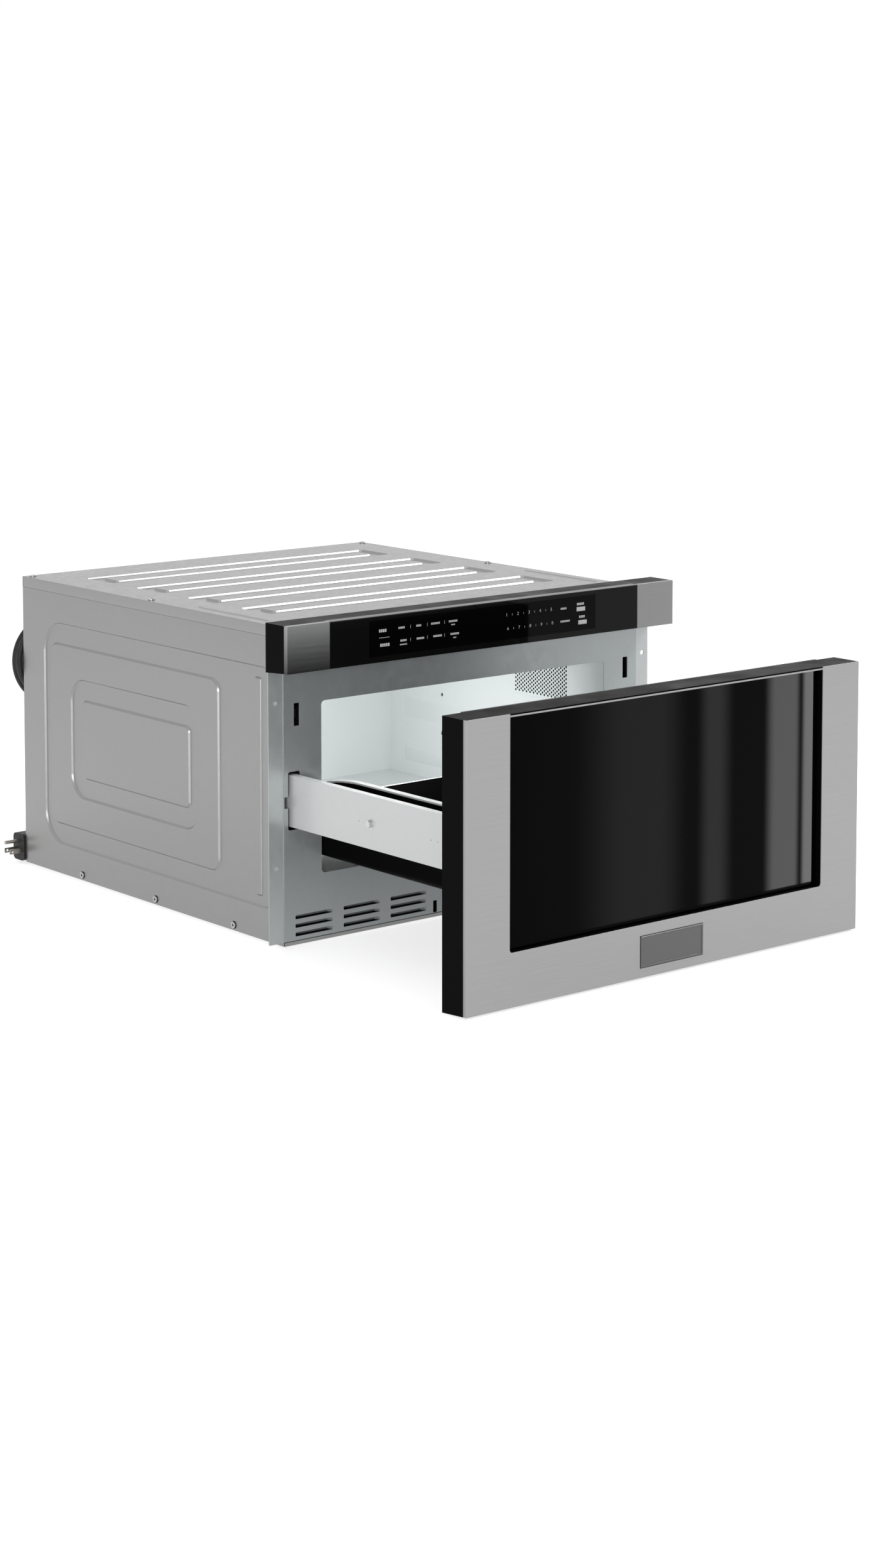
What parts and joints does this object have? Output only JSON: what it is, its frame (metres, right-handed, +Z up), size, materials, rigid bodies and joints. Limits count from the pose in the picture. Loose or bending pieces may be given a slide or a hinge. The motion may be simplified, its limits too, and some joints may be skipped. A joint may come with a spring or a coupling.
{
  "type": "microwave drawer",
  "caption": "Built-in microwave oven whose powered drawer carries a pan out of a sheet-metal cabinet; steel and dark glass front, control strip above.",
  "frame": {"origin": "centre of the base plate's resting face, under the cabinet", "axes": "+Z up; +Y into the cabinet, so the drawer opens towards -Y; +X to the right of someone facing the drawer"},
  "size_m": [0.6064, 0.9519, 0.3873],
  "materials": {
    "galvanised_sheet": "spangled zinc, satin",
    "front_galvanised": "zinc, satin",
    "cavity_enamel": "semi-gloss enamel",
    "cover_sheet": "satin",
    "black_plastic": "fine grain",
    "panel_black": "satin",
    "control_glass_black": "gloss",
    "door_glass_dark": "mirror-like gloss",
    "stainless": "horizontal brushing",
    "badge_metal": "satin, blank",
    "circuit_board": "solder mask",
    "slide_zinc": "zinc",
    "side_plate_zinc": "smooth zinc",
    "pan_enamel": "black enamel, gloss",
    "rim_steel": "polished",
    "tray_glass": "clear",
    "latch_plastic": "moulded",
    "switch_plastic": "moulded",
    "lever_steel": "plain",
    "gear_plastic": "moulded",
    "motor_casing": "satin",
    "magnetron_metal": "plain",
    "ferrite": "plain",
    "fan_plastic": "moulded",
    "lamp_porcelain": "gloss",
    "stirrer_aluminium": "plain",
    "screw_zinc": "zinc",
    "bumper_rubber": "matt",
    "cord_black": "matt",
    "tie_plastic": "moulded",
    "blade_brass": "plated"
  },
  "bodies": {
    "cabinet": {"base_plate": "galvanised_sheet", "side_panel_left": "galvanised_sheet", "side_panel_right": "galvanised_sheet", "rear_panel": "galvanised_sheet", "top_cover": "galvanised_sheet", "front_plate": "front_galvanised", "cavity_shell": "cavity_enamel", "vent_screen": "cavity_enamel", "stirrer_cover": "cover_sheet", "control_housing": "black_plastic", "control_glass": "control_glass_black", "end_cap_left": "stainless", "end_cap_right": "stainless", "control_board": "circuit_board", "slide_outer_left": "slide_zinc", "slide_outer_right": "slide_zinc", "interlock_brackets": "galvanised_sheet", "interlock_switches": "switch_plastic", "drive_motor": "motor_casing", "magnetron": "magnetron_metal", "waveguide": "galvanised_sheet", "inverter_board": "circuit_board", "inverter_transformer": "ferrite", "blower_housing": "black_plastic", "fan_motor": "motor_casing", "cavity_lamp": "lamp_porcelain", "noise_filter": "circuit_board", "stirrer_motor": "motor_casing", "body_screws": "screw_zinc", "cord_gland": "cord_black", "cord_tail": "cord_black", "cord_coil": "cord_black", "cord_ties": "tie_plastic", "plug_lead": "cord_black", "plug_body": "cord_black", "plug_blades": "blade_brass"},
    "drawer": {"door_frame": "black_plastic", "door_skin": "stainless", "door_glass": "door_glass_dark", "badge_plate": "badge_metal", "door_inner_panel": "panel_black", "choke_cover": "black_plastic", "latch_hooks": "latch_plastic", "side_plate_left": "side_plate_zinc", "side_plate_right": "side_plate_zinc", "slide_inner_left": "slide_zinc", "slide_inner_right": "slide_zinc", "drawer_pan": "pan_enamel", "pan_rim_band": "rim_steel", "glass_tray": "tray_glass", "drawer_rack": "gear_plastic", "drawer_screws": "screw_zinc", "door_bumpers": "bumper_rubber"},
    "slide_mids": {"slide_mid_left": "slide_zinc", "slide_mid_right": "slide_zinc"},
    "pinion": {"drive_pinion": "gear_plastic"},
    "fan": {"fan_wheel": "fan_plastic"},
    "stirrer": {"stirrer": "stirrer_aluminium"},
    "lever_left": {"switch_lever_left": "lever_steel"},
    "lever_right": {"switch_lever_right": "lever_steel"}
  },
  "joints": [
    {"name": "drawer_slide", "type": "slide", "parent": "cabinet", "child": "drawer", "axis": [0, 1, 0], "range_m": [0, 0.313]},
    {"name": "mid_slide", "type": "slide", "parent": "cabinet", "child": "slide_mids", "axis": [0, 1, 0], "range_m": [0, 0.157]},
    {"name": "pinion_spin", "type": "hinge", "parent": "cabinet", "child": "pinion", "pos_m": [0.24738, -0.2495, 0.144], "axis": [0, 0, 1], "range_deg": [0, 1994]},
    {"name": "fan_spin", "type": "hinge", "parent": "cabinet", "child": "fan", "pos_m": [0.15, 0.2735, 0.19], "axis": [0, 1, 0], "continuous": true},
    {"name": "stirrer_spin", "type": "hinge", "parent": "cabinet", "child": "stirrer", "pos_m": [0, -0.0375, 0.285], "axis": [0, 0, 1], "continuous": true},
    {"name": "lever_left_press", "type": "hinge", "parent": "cabinet", "child": "lever_left", "pos_m": [-0.2549, -0.2515, 0.272], "axis": [0, 0, 1], "range_deg": [0, 5], "stiffness_Nm_per_rad": 0.01},
    {"name": "lever_right_press", "type": "hinge", "parent": "cabinet", "child": "lever_right", "pos_m": [0.2549, -0.2515, 0.272], "axis": [0, 0, -1], "range_deg": [0, 5], "stiffness_Nm_per_rad": 0.01}
  ],
  "couplings": [
    {"joint": "mid_slide", "follows": "drawer_slide", "ratio": 0.5},
    {"joint": "pinion_spin", "follows": "drawer_slide", "rad_per_m": 111.11}
  ]
}
